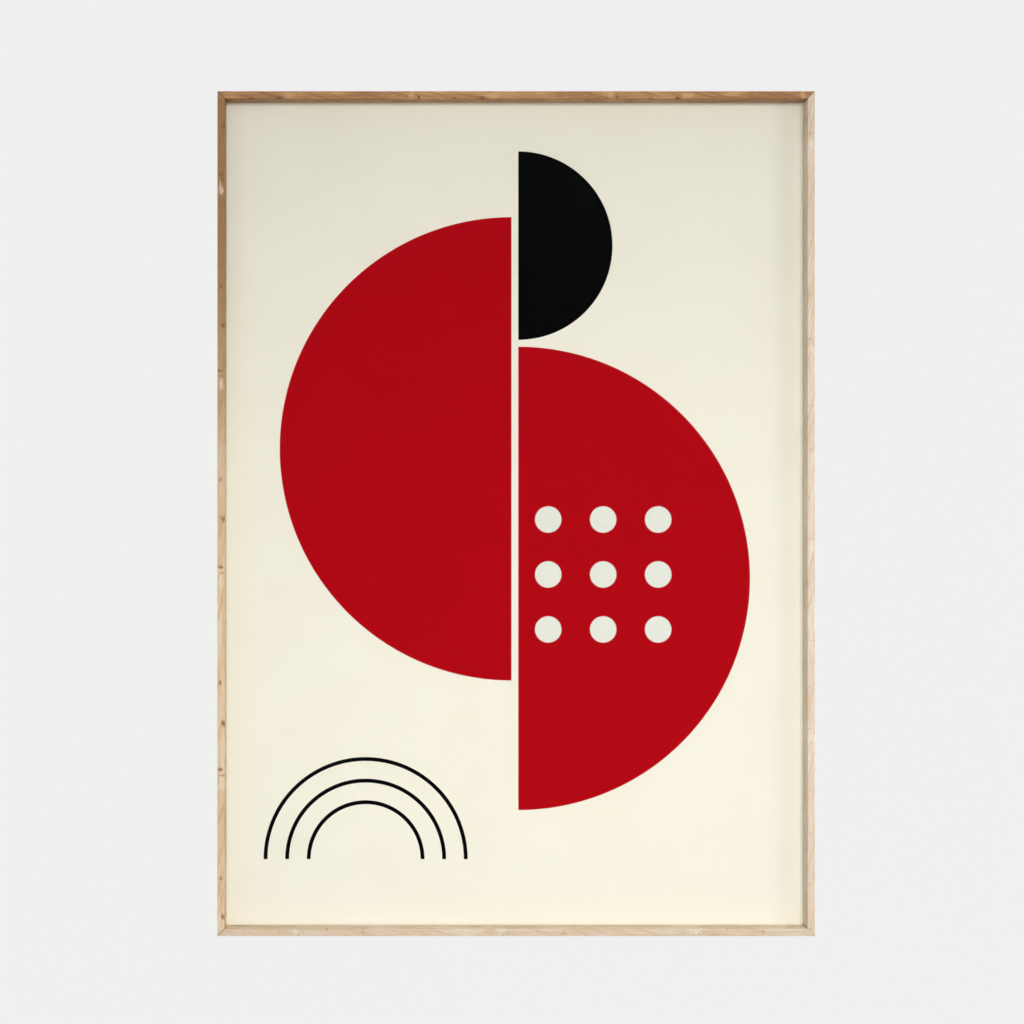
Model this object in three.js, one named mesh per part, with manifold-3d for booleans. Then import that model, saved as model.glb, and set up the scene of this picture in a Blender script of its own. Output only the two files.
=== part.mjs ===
// A framed wall print: a large paper sheet behind clear glazing, in a slim frame of solid oak.
//
// Millimetres, +Z up. The frame's back lies against the wall in the plane y = 0 and its front
// looks along -Y. The origin is the hanging point: where the wall nail carries the middle notch
// of the hanger, on the frame's centre line.

import * as THREE from "three";
import { mergeVertices } from "three/addons/utils/BufferGeometryUtils.js";
import Module from "manifold-3d";

// ---------------------------------------------------------------- driving dimensions, in mm

// The frame, outside, and where the nail is under its top edge.
const OUTER_WIDTH = 602;
const OUTER_HEIGHT = 851;
const NAIL_BELOW_TOP = 48;

// The moulding: an L, with a lip in front of the glazing and a thin wall around the panels.
const FACE_WIDTH = 7.4;
const FRAME_DEPTH = 28;
const LIP_DEPTH = 15;
const WALL_THICKNESS = 3.5;
const EDGE_RADIUS = 0.6;
const MITRE_GAP = 0.1; // on each side of the 45 degree cut

// The panels behind the lip, from the front.
const PANEL_GAP = 0.05; // between two panels that touch
const GLAZING = { width: 594, height: 843, thickness: 2 };
const PRINT = { width: 594, height: 841, thickness: 0.4 };
const BOARD = { width: 594, height: 843, thickness: 3 };

// The steel tabs that hold the panels in.
const TAB = { length: 15, width: 9, thickness: 0.5, sunk: 2.4, tipRadius: 3 };
const TAB_SLOT_CLEARANCE = 0.3;
const TABS_ON_UPRIGHT = 4;
const TABS_ON_CROSS_RAIL = 3;

// The steel angle in the back of each mitre.
const ANGLE = { leg: 7, thickness: 0.6, depth: 8, below: 0.3 };
const ANGLE_SLOT_CLEARANCE = 0.3;

// The toothed hanging plate.
const HANGER = {
  length: 52,
  height: 11,
  thickness: 1,
  rise: 2.6,
  flatEnd: 9.5,
  ramp: 5,
  notches: 7,
  notchPitch: 3.2,
  notchWidth: 2.8,
  notchDepth: 1.6,
  cornerRadius: 2,
};
const RIVET = { headRadius: 3.4, headHeight: 1.1, shankRadius: 1.6, holeClearance: 0.3 };
const RIVET_INSET = 4.8; // from the plate's end
const ROUND_SEGMENTS = 32;

// ---------------------------------------------------------------- worked-out places

const FRAME_TOP = NAIL_BELOW_TOP;
const FRAME_CENTRE_Z = FRAME_TOP - OUTER_HEIGHT / 2;
const FRONT_Y = -FRAME_DEPTH;
const GLAZING_FRONT_Y = FRONT_Y + LIP_DEPTH + PANEL_GAP;
const PRINT_FRONT_Y = GLAZING_FRONT_Y + GLAZING.thickness + PANEL_GAP;
const BOARD_FRONT_Y = PRINT_FRONT_Y + PRINT.thickness + PANEL_GAP;
const BOARD_BACK_Y = BOARD_FRONT_Y + BOARD.thickness;
const TAB_FRONT_Y = BOARD_BACK_Y + PANEL_GAP;

// ---------------------------------------------------------------- materials

const standard = (color, roughness, metalness = 0) =>
  new THREE.MeshStandardMaterial({ color, roughness, metalness });

const OAK = standard(0xdcc3a0, 0.5);
const GLASS = new THREE.MeshStandardMaterial({
  color: 0xf4f7f6,
  roughness: 0.05,
  transparent: true,
  opacity: 0.15,
});
const PAPER = standard(0xf4eedd, 0.85);
const HARDBOARD = standard(0x8a6b4c, 0.8);
const STEEL = standard(0xb9bdc0, 0.35, 1);

// ---------------------------------------------------------------- joins and cuts

const wasm = await Module();
wasm.setup();

/** A closed geometry as a solid that can be cut. */
function solidOf(geometry) {
  const bare = geometry.clone();
  bare.deleteAttribute("normal");
  bare.deleteAttribute("uv");
  const merged = mergeVertices(bare, 1e-4);
  return new wasm.Manifold(
    new wasm.Mesh({
      numProp: 3,
      vertProperties: merged.attributes.position.array,
      triVerts: new Uint32Array(merged.index.array),
    }),
  );
}

/** A solid as a geometry that can be shown. */
function geometryOf(solid) {
  const mesh = solid.getMesh();
  const geometry = new THREE.BufferGeometry();
  geometry.setAttribute("position", new THREE.BufferAttribute(mesh.vertProperties, 3));
  geometry.setIndex(new THREE.BufferAttribute(mesh.triVerts, 1));
  geometry.computeVertexNormals();
  return geometry;
}

/** The geometry that is left once every cutter is taken away. */
function cut(geometry, cutters) {
  let solid = solidOf(geometry);
  for (const cutter of cutters) solid = solid.subtract(solidOf(cutter));
  return geometryOf(solid);
}

/** A box between two corners. */
function boxBetween(low, high) {
  const size = new THREE.Vector3().subVectors(high, low);
  const centre = new THREE.Vector3().addVectors(low, high).multiplyScalar(0.5);
  return new THREE.BoxGeometry(size.x, size.y, size.z).translate(centre.x, centre.y, centre.z);
}

// ---------------------------------------------------------------- places along the rails

/** The middles of count tabs that share out a length evenly. */
function evenPlaces(length, count) {
  return Array.from({ length: count }, (_, i) => ((i + 0.5) / count - 0.5) * length);
}

// Every rail is made lying along +X with its outer face at z = 0 and the picture above it,
// then turned about the frame's centre: bottom, right, top, left.
const SIDES = [
  { name: "bottom", turns: 0, length: OUTER_WIDTH, across: OUTER_HEIGHT, tabs: TABS_ON_CROSS_RAIL },
  { name: "right", turns: 1, length: OUTER_HEIGHT, across: OUTER_WIDTH, tabs: TABS_ON_UPRIGHT },
  { name: "top", turns: 2, length: OUTER_WIDTH, across: OUTER_HEIGHT, tabs: TABS_ON_CROSS_RAIL },
  { name: "left", turns: 3, length: OUTER_HEIGHT, across: OUTER_WIDTH, tabs: TABS_ON_UPRIGHT },
];

/** A group in which what is made for the bottom rail lands on the given side. */
function sideGroup(side) {
  const group = new THREE.Group();
  group.position.set(0, 0, FRAME_CENTRE_Z);
  group.rotation.y = (-side.turns * Math.PI) / 2;
  return group;
}

// ---------------------------------------------------------------- the oak rails

/** The moulding's section: x runs in from the outer face, y from the front to the back. */
function mouldingSection() {
  const r = EDGE_RADIUS;
  const section = new THREE.Shape();
  section.moveTo(0, FRONT_Y + r);
  section.absarc(r, FRONT_Y + r, r, Math.PI, 1.5 * Math.PI, false);
  section.absarc(FACE_WIDTH - r, FRONT_Y + r, r, 1.5 * Math.PI, 2 * Math.PI, false);
  section.lineTo(FACE_WIDTH, FRONT_Y + LIP_DEPTH);
  section.lineTo(WALL_THICKNESS, FRONT_Y + LIP_DEPTH);
  section.lineTo(WALL_THICKNESS, 0);
  section.lineTo(0, 0);
  section.closePath();
  return section;
}

/** Slots in the rail's inner wall for the tabs, in the rail's own place. */
function tabSlots(side) {
  const half = TAB.width / 2 + TAB_SLOT_CLEARANCE;
  return evenPlaces(side.length, side.tabs).map((x) =>
    boxBetween(
      new THREE.Vector3(
        x - half,
        TAB_FRONT_Y - TAB_SLOT_CLEARANCE,
        WALL_THICKNESS - TAB.sunk - TAB_SLOT_CLEARANCE,
      ),
      new THREE.Vector3(
        x + half,
        TAB_FRONT_Y + TAB.thickness + TAB_SLOT_CLEARANCE,
        WALL_THICKNESS + 1,
      ),
    ),
  );
}

/** Slots in the rail's back at both ends for the corner angles, in the rail's own place. */
function angleSlots(side) {
  const middle = WALL_THICKNESS / 2;
  const half = ANGLE.thickness / 2 + ANGLE_SLOT_CLEARANCE;
  const reach = middle + ANGLE.leg + ANGLE_SLOT_CLEARANCE;
  const end = side.length / 2;
  return [-1, 1].map((hand) => {
    const xs = [hand * (end - middle + half), hand * (end - reach)];
    return boxBetween(
      new THREE.Vector3(
        Math.min(...xs),
        -ANGLE.depth - ANGLE.below - ANGLE_SLOT_CLEARANCE,
        middle - half,
      ),
      new THREE.Vector3(Math.max(...xs), 1, middle + half),
    );
  });
}

/** One rail with its mitres, slots and eased front edges, lying along +X. */
function railGeometry(side) {
  const bar = new THREE.ExtrudeGeometry(mouldingSection(), {
    depth: side.length,
    steps: 1,
    curveSegments: 4,
    bevelEnabled: false,
  });
  const place = bar.attributes.position;
  for (let i = 0; i < place.count; i++) {
    const inward = place.getX(i);
    const nearEnd = place.getZ(i) < side.length / 2;
    const mitred = inward + MITRE_GAP * Math.SQRT2;
    const along = nearEnd ? mitred : side.length - mitred;
    place.setXYZ(i, side.length / 2 - along, place.getY(i), inward);
  }
  return cut(bar, [...tabSlots(side), ...angleSlots(side)]);
}

/** The four rails. */
function rails() {
  return SIDES.map((side) => {
    const group = sideGroup(side);
    const rail = new THREE.Mesh(railGeometry(side), OAK);
    rail.name = `frame_${side.name}`;
    rail.position.z = -side.across / 2;
    group.add(rail);
    return group;
  });
}

// ---------------------------------------------------------------- the panels

/** A flat panel whose front is at frontY, centred in the frame. */
function panel(name, size, frontY, material, cutters = []) {
  const low = new THREE.Vector3(-size.width / 2, frontY, FRAME_CENTRE_Z - size.height / 2);
  const high = new THREE.Vector3(
    size.width / 2,
    frontY + size.thickness,
    FRAME_CENTRE_Z + size.height / 2,
  );
  const mesh = new THREE.Mesh(cut(boxBetween(low, high), cutters), material);
  mesh.name = name;
  return mesh;
}

/** A round hole along Y through everything between two planes. */
function holeCutter(x, z, radius, y0, y1) {
  return new THREE.CylinderGeometry(radius, radius, y1 - y0, ROUND_SEGMENTS).translate(
    x,
    (y0 + y1) / 2,
    z,
  );
}

// ---------------------------------------------------------------- what holds the panels in

/** One tab, made for the bottom rail: its root is sunk in the rail and its tip lies on the board. */
function tabGeometry() {
  const half = TAB.width / 2;
  const r = TAB.tipRadius;
  const outline = new THREE.Shape();
  outline.moveTo(-half, 0);
  outline.lineTo(half, 0);
  outline.lineTo(half, TAB.length - r);
  outline.absarc(half - r, TAB.length - r, r, 0, Math.PI / 2, false);
  outline.lineTo(-half + r, TAB.length);
  outline.absarc(-half + r, TAB.length - r, r, Math.PI / 2, Math.PI, false);
  outline.closePath();
  return new THREE.ExtrudeGeometry(outline, {
    depth: TAB.thickness,
    curveSegments: 6,
    bevelEnabled: false,
  }).rotateX(Math.PI / 2);
}

/** All the tabs, shared out along the four rails. */
function tabs() {
  return SIDES.map((side) => {
    const group = sideGroup(side);
    evenPlaces(side.length, side.tabs).forEach((x, i) => {
      const tab = new THREE.Mesh(tabGeometry(), STEEL);
      tab.name = `tab_${side.name}_${i + 1}`;
      const root = -side.across / 2 + WALL_THICKNESS - TAB.sunk;
      tab.position.set(x, TAB_FRONT_Y + TAB.thickness, root);
      group.add(tab);
    });
    return group;
  });
}

// ---------------------------------------------------------------- the corner angles

/** One steel angle at the frame's bottom left corner, seen from the back. */
function angleGeometry() {
  const t = ANGLE.thickness / 2;
  const outline = new THREE.Shape();
  outline.moveTo(-t, -t);
  outline.lineTo(ANGLE.leg, -t);
  outline.lineTo(ANGLE.leg, t);
  outline.lineTo(t, t);
  outline.lineTo(t, ANGLE.leg);
  outline.lineTo(-t, ANGLE.leg);
  outline.closePath();
  return new THREE.ExtrudeGeometry(outline, {
    depth: ANGLE.depth,
    bevelEnabled: false,
  }).rotateX(Math.PI / 2);
}

/** The four angles, one in the back of each mitre. */
function cornerAngles() {
  const x = OUTER_WIDTH / 2 - WALL_THICKNESS / 2;
  const z = OUTER_HEIGHT / 2 - WALL_THICKNESS / 2;
  const corners = [
    { name: "bottom_left", x: -x, z: -z, turns: 0 },
    { name: "bottom_right", x, z: -z, turns: 1 },
    { name: "top_right", x, z, turns: 2 },
    { name: "top_left", x: -x, z, turns: 3 },
  ];
  return corners.map((corner) => {
    const angle = new THREE.Mesh(angleGeometry(), STEEL);
    angle.name = `corner_fastener_${corner.name}`;
    angle.position.set(corner.x, -ANGLE.below, FRAME_CENTRE_Z + corner.z);
    angle.rotation.y = (-corner.turns * Math.PI) / 2;
    return angle;
  });
}

// ---------------------------------------------------------------- the hanger

// The notches' tops are at z = 0, where the nail carries the middle one.
const HANGER_LOW = -HANGER.notchDepth;
const HANGER_BACK_Y = BOARD_BACK_Y + PANEL_GAP;
const RIVET_X = HANGER.length / 2 - RIVET_INSET;
const RIVET_Z = HANGER_LOW + HANGER.height / 2;

/** The plate's edge seen from above: flat at both ends and raised in the middle. */
function hangerEdge() {
  const half = HANGER.length / 2;
  const rampOut = half - HANGER.flatEnd;
  const rampIn = rampOut - HANGER.ramp;
  const y = HANGER_BACK_Y;
  const t = HANGER.thickness;
  const edge = new THREE.Shape();
  edge.moveTo(-half, y);
  edge.lineTo(-rampOut, y);
  edge.lineTo(-rampIn, y + HANGER.rise);
  edge.lineTo(rampIn, y + HANGER.rise);
  edge.lineTo(rampOut, y);
  edge.lineTo(half, y);
  edge.lineTo(half, y + t);
  edge.lineTo(rampOut, y + t);
  edge.lineTo(rampIn, y + t + HANGER.rise);
  edge.lineTo(-rampIn, y + t + HANGER.rise);
  edge.lineTo(-rampOut, y + t);
  edge.lineTo(-half, y + t);
  edge.closePath();
  return edge;
}

/** One notch to be cut from the plate's lower edge. */
function notchCutter(x) {
  const below = HANGER_LOW - HANGER.notchDepth; // twice the depth, so twice the width
  const outline = new THREE.Shape();
  outline.moveTo(x - HANGER.notchWidth, below);
  outline.lineTo(x + HANGER.notchWidth, below);
  outline.lineTo(x, 0);
  outline.closePath();
  return new THREE.ExtrudeGeometry(outline, { depth: FRAME_DEPTH, bevelEnabled: false }).rotateX(
    Math.PI / 2,
  );
}

/** What is left of a square corner once it is rounded, for each of the plate's four corners. */
function cornerCutters() {
  const r = HANGER.cornerRadius;
  return [-1, 1].flatMap((sideways) =>
    [-1, 1].map((up) => {
      const x = sideways * (HANGER.length / 2 - r);
      const z = RIVET_Z + up * (HANGER.height / 2 - r);
      const square = new THREE.BoxGeometry(2 * r, FRAME_DEPTH, 2 * r).translate(
        x + sideways * r,
        -FRAME_DEPTH / 2,
        z + up * r,
      );
      return cut(square, [holeCutter(x, z, r, -FRAME_DEPTH - 1, 1)]);
    }),
  );
}

/** The toothed plate. */
function hangerPlate() {
  const strip = new THREE.ExtrudeGeometry(hangerEdge(), {
    depth: HANGER.height,
    bevelEnabled: false,
  }).translate(0, 0, HANGER_LOW);
  const notches = Array.from({ length: HANGER.notches }, (_, i) =>
    notchCutter((i - (HANGER.notches - 1) / 2) * HANGER.notchPitch),
  );
  const holeRadius = RIVET.shankRadius + RIVET.holeClearance;
  const holes = [-RIVET_X, RIVET_X].map((x) =>
    holeCutter(x, RIVET_Z, holeRadius, -FRAME_DEPTH, 0),
  );
  const plate = new THREE.Mesh(cut(strip, [...notches, ...cornerCutters(), ...holes]), STEEL);
  plate.name = "hanger_plate";
  return plate;
}

/** The two domed rivets that fasten the plate to the board. */
function hangerRivets() {
  const headY = HANGER_BACK_Y + HANGER.thickness + PANEL_GAP;
  const profile = new THREE.Path();
  profile.moveTo(0, -(headY - BOARD_FRONT_Y) + PANEL_GAP);
  profile.lineTo(RIVET.shankRadius, -(headY - BOARD_FRONT_Y) + PANEL_GAP);
  profile.lineTo(RIVET.shankRadius, 0);
  profile.lineTo(RIVET.headRadius, 0);
  profile.quadraticCurveTo(RIVET.headRadius * 0.8, RIVET.headHeight, 0, RIVET.headHeight);
  return ["left", "right"].map((name, i) => {
    const lathe = new THREE.LatheGeometry(profile.getPoints(6), ROUND_SEGMENTS);
    const rivet = new THREE.Mesh(lathe, STEEL);
    rivet.name = `hanger_rivet_${name}`;
    rivet.position.set(i ? RIVET_X : -RIVET_X, headY, RIVET_Z);
    return rivet;
  });
}

// ---------------------------------------------------------------- the whole object

const boardHoles = [-RIVET_X, RIVET_X].map((x) =>
  holeCutter(x, RIVET_Z, RIVET.shankRadius + RIVET.holeClearance, -FRAME_DEPTH, 0),
);

const framedPrint = new THREE.Group();
framedPrint.add(
  ...rails(),
  panel("glazing", GLAZING, GLAZING_FRONT_Y, GLASS),
  panel("print", PRINT, PRINT_FRONT_Y, PAPER),
  panel("backing_board", BOARD, BOARD_FRONT_Y, HARDBOARD, boardHoles),
  ...tabs(),
  ...cornerAngles(),
  hangerPlate(),
  ...hangerRivets(),
);

export default framedPrint;
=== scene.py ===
"""A framed wall print with its finishes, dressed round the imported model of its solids.

Metres, +Z up. The picture looks along -Y and the frame's back lies in the plane y = 0. Each
sub-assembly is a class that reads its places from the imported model, builds its meshes and
dresses them, and each finish is a small class that makes one material.
"""

import logging
import math
from collections.abc import Iterable, Sequence
from dataclasses import dataclass, field
from enum import Enum, IntEnum, auto

import bmesh
import bpy
from bmesh.types import BMEdge, BMesh, BMVert
from mathutils import Matrix, Vector


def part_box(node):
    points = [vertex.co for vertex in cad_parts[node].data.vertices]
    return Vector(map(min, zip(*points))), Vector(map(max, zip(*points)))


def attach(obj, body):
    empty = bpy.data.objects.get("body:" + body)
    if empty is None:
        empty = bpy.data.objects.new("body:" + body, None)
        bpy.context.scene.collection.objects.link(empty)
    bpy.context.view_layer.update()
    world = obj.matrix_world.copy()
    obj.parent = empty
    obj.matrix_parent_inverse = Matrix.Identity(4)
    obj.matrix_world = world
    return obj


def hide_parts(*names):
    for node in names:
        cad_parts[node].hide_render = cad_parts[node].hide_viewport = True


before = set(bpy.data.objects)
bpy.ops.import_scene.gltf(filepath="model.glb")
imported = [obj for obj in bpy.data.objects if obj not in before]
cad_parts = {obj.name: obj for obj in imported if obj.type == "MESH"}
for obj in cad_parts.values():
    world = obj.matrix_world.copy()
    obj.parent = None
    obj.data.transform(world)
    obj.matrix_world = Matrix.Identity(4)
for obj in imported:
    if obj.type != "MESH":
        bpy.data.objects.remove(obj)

LOG = logging.getLogger("framed_print")
MM = 0.001
BODY = "root"
HAIR = 0.001 * MM  # points that lie closer than this are one
RIM_TURN = math.radians(60)  # a plate turns further than this at its rims
CRISP_TURN = math.radians(50)  # an edge that turns further than this is shaded crisp
EASED_TURN = math.radians(40)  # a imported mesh's edge that turns further than this is eased

Colour = tuple[float, float, float, float]
Triple = tuple[float, float, float]
Socket = bpy.types.NodeSocket
Value = float | Sequence[float] | Socket


# ------------------------------------------------------------------ shared helpers


def srgb(red: int, green: int, blue: int) -> Colour:
    """A colour given on the 0 to 255 display scale, as linear light.

    Args:
        red: Display red.
        green: Display green.
        blue: Display blue.

    Returns:
        The linear colour with full alpha.
    """
    def linear(channel: int) -> float:
        """One channel as linear light."""
        share = channel / 255
        return share / 12.92 if share <= 0.04045 else ((share + 0.055) / 1.055) ** 2.4

    return (linear(red), linear(green), linear(blue), 1.0)


def nodes_called(prefix: str) -> list[str]:
    """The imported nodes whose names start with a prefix, in the order of their names."""
    return sorted(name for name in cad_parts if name.startswith(prefix))


def spin_profile(
    bm: BMesh, profile: Sequence[tuple[float, float]], axis: Triple, steps: int
) -> None:
    """Turns a profile full circle about an axis through the origin.

    Args:
        bm: The bmesh to add to.
        profile: Points as distance from the axis and place along it.
        axis: The axis: Y or Z.
        steps: How many facets the circle has.
    """
    along = Vector(axis)
    verts = [bm.verts.new(Vector((out, 0, 0)) + place * along) for out, place in profile]
    edges = [bm.edges.new(pair) for pair in zip(verts, verts[1:])]
    bmesh.ops.spin(
        bm,
        geom=verts + edges,
        cent=(0, 0, 0),
        axis=axis,
        angle=2 * math.pi,
        steps=steps,
        use_merge=True,
    )
    bmesh.ops.remove_doubles(bm, verts=bm.verts, dist=HAIR)
    bmesh.ops.recalc_face_normals(bm, faces=bm.faces)


def thicken(bm: BMesh, step: Triple) -> None:
    """Turns a flat sheet of faces into a closed plate.

    Args:
        bm: The bmesh, which holds nothing but the sheet.
        step: The way from the sheet to the plate's other side.
    """
    grown = bmesh.ops.extrude_face_region(bm, geom=list(bm.faces), use_keep_orig=True)["geom"]
    moved = [part for part in grown if isinstance(part, BMVert)]
    bmesh.ops.translate(bm, verts=moved, vec=step)
    bmesh.ops.recalc_face_normals(bm, faces=bm.faces)


def split(bm: BMesh, at: Triple, normal: Triple) -> None:
    """Splits what crosses a plane, so that the plate can bend there."""
    everything = bm.verts[:] + bm.edges[:] + bm.faces[:]
    bmesh.ops.bisect_plane(bm, geom=everything, plane_co=at, plane_no=normal)


def round_off(
    bm: BMesh, parts: Sequence[BMEdge | BMVert], radius: float, segments: int
) -> None:
    """Rounds edges, or the corners of a flat sheet.

    Args:
        bm: The bmesh.
        parts: Its edges or its corners to round.
        radius: The radius.
        segments: How many facets the round has.
    """
    bmesh.ops.bevel(
        bm,
        geom=parts,
        offset=radius,
        segments=segments,
        profile=0.5,
        affect="VERTICES" if isinstance(parts[0], BMVert) else "EDGES",
        material=-1,
    )


def rim_edges(bm: BMesh) -> list[BMEdge]:
    """The edges of a plate's rims, where its faces meet nearly square."""
    return [e for e in bm.edges if e.calc_face_angle(0) > RIM_TURN]


def runs_through(edge: BMEdge) -> bool:
    """Whether an edge runs through a plate's thickness, along Y."""
    return abs(edge.verts[0].co.y - edge.verts[1].co.y) > HAIR


def placed(
    bm: BMesh, name: str, materials: Iterable[bpy.types.Material] = ()
) -> bpy.types.Object:
    """Turns a bmesh into an object of the scene.

    Args:
        bm: The shape, already in its place. It is freed.
        name: The object's name.
        materials: What its faces' material indices mean.

    Returns:
        The new object.
    """
    mesh = bpy.data.meshes.new(name)
    bm.to_mesh(mesh)
    bm.free()
    for material in materials:
        mesh.materials.append(material)
    made = bpy.data.objects.new(name, mesh)
    bpy.context.scene.collection.objects.link(made)
    return made


def finish_piece(
    bm: BMesh,
    name: str,
    materials: Iterable[bpy.types.Material],
    replaced: Iterable[str],
) -> bpy.types.Object:
    """Turns a bmesh into a shown piece that rides on the model's body.

    Args:
        bm: The shape, already in its place. It is freed.
        name: The piece's name.
        materials: What its faces' material indices mean.
        replaced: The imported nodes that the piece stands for.

    Returns:
        The new object.
    """
    piece = placed(bm, name, materials)
    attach(piece, BODY)
    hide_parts(*replaced)
    LOG.info("%s: %d faces, stands for %s", name, len(piece.data.polygons), ", ".join(replaced))
    return piece


def shade_round(piece: bpy.types.Object) -> None:
    """Shades a piece smooth across its eased edges and flat on its flats.

    Args:
        piece: The object to shade.
    """
    piece.data.shade_smooth()
    piece.data.set_sharp_from_angle(angle=CRISP_TURN)
    weighted = piece.modifiers.new("even_flats", "WEIGHTED_NORMAL")
    weighted.keep_sharp = True


def dress_node(node: str, material: bpy.types.Material, arris: float = 0.0) -> None:
    """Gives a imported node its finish, and eases its edges without changing its mesh.

    Args:
        node: The node's name.
        material: The finish.
        arris: The radius of its edges, or 0 for square ones.
    """
    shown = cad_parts[node]
    for material_slot in shown.material_slots:
        material_slot.material = material
    LOG.info("%s: packed mesh, finish %s", node, material.name)
    if arris == 0:
        return
    weld = shown.modifiers.new("weld", "WELD")
    weld.merge_threshold = HAIR
    ease = shown.modifiers.new("ease", "BEVEL")
    ease.width = arris
    ease.segments = 2
    ease.limit_method = "ANGLE"
    ease.angle_limit = EASED_TURN


class Side(IntEnum):
    """The frame's sides, numbered by the quarter turns that bring the bottom rail there."""

    BOTTOM = 0
    RIGHT = 1
    TOP = 2
    LEFT = 3

    @property
    def label(self) -> str:
        """The side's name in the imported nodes' names."""
        return self.name.lower()

    @property
    def upright(self) -> bool:
        """Whether the side's rail stands upright."""
        return self in (Side.LEFT, Side.RIGHT)

    @property
    def turn(self) -> Matrix:
        """The turn that carries the bottom side's directions to this side's."""
        return Matrix.Rotation(-self * math.pi / 2, 4, "Y")


@dataclass(frozen=True)
class FramePlaces:
    """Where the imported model's main planes are.

    Attributes:
        width: The frame's outer width.
        height: Its outer height.
        face: The width of a rail's front.
        front_y: The y of the rails' fronts.
        glazing_y: The y of the glazing's front.
        centre: The middle of the frame, in the plane of its back.
    """

    width: float
    height: float
    face: float
    front_y: float
    glazing_y: float
    centre: Vector

    @classmethod
    def read(cls) -> "FramePlaces":
        """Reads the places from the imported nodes.

        Returns:
            The places, in metres.
        """
        left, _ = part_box("frame_left")
        _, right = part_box("frame_right")
        bottom, bottom_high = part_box("frame_bottom")
        _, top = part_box("frame_top")
        glazing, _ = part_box("glazing")
        return cls(
            width=right.x - left.x,
            height=top.z - bottom.z,
            face=bottom_high.z - bottom.z,
            front_y=bottom.y,
            glazing_y=glazing.y,
            centre=Vector(((left.x + right.x) / 2, 0, (top.z + bottom.z) / 2)),
        )

    def seat(self, side: Side) -> Matrix:
        """The place of one side, for what is made lying along +X with its outer face at z = 0.

        Args:
            side: The side of the frame.

        Returns:
            The matrix that takes it there.
        """
        across = self.width if side.upright else self.height
        out = Matrix.Translation((0, 0, -across / 2))
        return Matrix.Translation(self.centre) @ side.turn @ out

    def length(self, side: Side) -> float:
        """The outer length of one side's rail."""
        return self.height if side.upright else self.width


# ------------------------------------------------------------------ node trees


@dataclass(frozen=True)
class Pattern:
    """A cloudy noise.

    Attributes:
        per_metre: How closely it is packed along X, Y and Z.
        layers: How many finer layers lie in it.
        swirl: How far it is distorted.
    """

    per_metre: Triple
    layers: float = 3.0
    swirl: float = 0.0


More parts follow.
